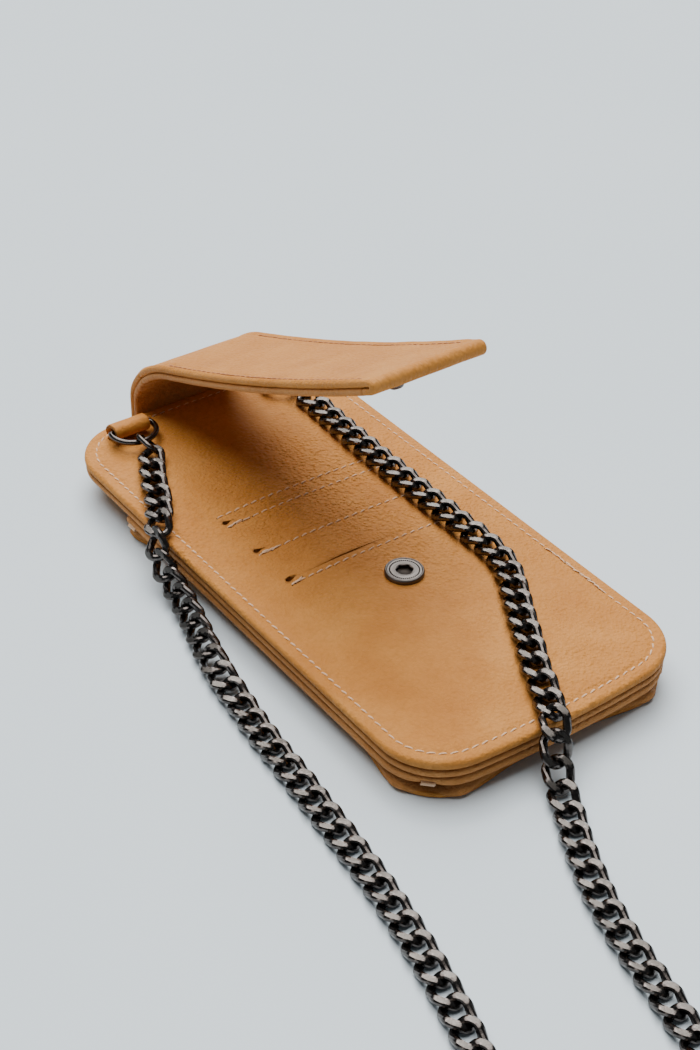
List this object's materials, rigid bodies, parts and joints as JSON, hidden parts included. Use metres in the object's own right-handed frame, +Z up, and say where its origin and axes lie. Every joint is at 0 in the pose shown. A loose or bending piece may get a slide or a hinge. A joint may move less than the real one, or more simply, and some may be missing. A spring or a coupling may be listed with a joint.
{
  "type": "chain wallet",
  "caption": "Leather phone and card wallet with stacked card slots, a rear phone pocket, a snap strap flap over the front, and a long curb chain strap on D-rings.",
  "frame": {"origin": "on the table, below the middle of the wallet's bounding box without its chain", "axes": "+X across the wallet to its right, +Y along it towards the flap's fold, +Z up out of the front face"},
  "size_m": [0.1887, 0.4253, 0.0933],
  "materials": {
    "leather_face": "matt pebbled grain, camel",
    "leather_inner": "matt, camel, darker in the folds",
    "lining": "plain woven lining",
    "thread": "waxed thread, pale pink cream",
    "snap_metal": "dark gunmetal plate",
    "chain_metal": "dark gunmetal with brushed bright flats"
  },
  "bodies": {
    "wallet": {"front_panel": "leather_face", "rear_panel": "leather_inner", "card_pocket_1": "lining", "card_pocket_2": "lining", "card_pocket_3": "lining", "gusset_upper": "leather_inner", "perimeter_stitches": "thread", "slot_stitches": "thread", "bar_tacks": "thread", "snap_socket": "snap_metal", "socket_post": "snap_metal", "left_tab": "leather_face", "right_tab": "leather_face", "flap_root_outer": "leather_face", "flap_root_inner": "leather_inner", "chain_left": "chain_metal", "chain_right": "chain_metal", "chain_coil": "chain_metal"},
    "flap_bend": {"flap_bend_outer": "leather_face", "flap_bend_inner": "leather_inner"},
    "flap_panel": {"flap_panel_outer": "leather_face", "flap_panel_inner": "leather_inner", "flap_tip": "leather_face", "flap_stitches": "thread", "snap_stud": "snap_metal", "stud_cap": "snap_metal"},
    "pocket": {"pocket_back": "leather_face", "gusset_lower": "leather_inner", "pocket_stitches": "thread"},
    "left_ring": {"left_d_ring": "chain_metal", "left_end_link": "chain_metal"},
    "right_ring": {"right_d_ring": "chain_metal", "right_end_link": "chain_metal"}
  },
  "joints": [
    {"name": "flap_root_fold", "type": "hinge", "parent": "wallet", "child": "flap_bend", "pos_m": [0, 0.1, 0.018], "axis": [1, 0, 0], "range_deg": [-9.15, 2.7]},
    {"name": "flap_fold", "type": "hinge", "parent": "flap_bend", "child": "flap_panel", "pos_m": [0, 0.08101, 0.03822], "axis": [1, 0, 0], "range_deg": [-100, 29.5]},
    {"name": "pocket_open", "type": "hinge", "parent": "wallet", "child": "pocket", "pos_m": [0, -0.098, 0.00465], "axis": [-1, 0, 0], "range_deg": [0, 4]},
    {"name": "left_ring_swing", "type": "hinge", "parent": "wallet", "child": "left_ring", "pos_m": [-0.0295, 0.0851, 0.0186], "axis": [-1, 0, 0], "range_deg": [0, 65]},
    {"name": "right_ring_swing", "type": "hinge", "parent": "wallet", "child": "right_ring", "pos_m": [0.0295, 0.0851, 0.0186], "axis": [-1, 0, 0], "range_deg": [0, 65]}
  ],
  "couplings": [
    {"joint": "flap_root_fold", "follows": "flap_fold", "ratio": 0.0915}
  ]
}
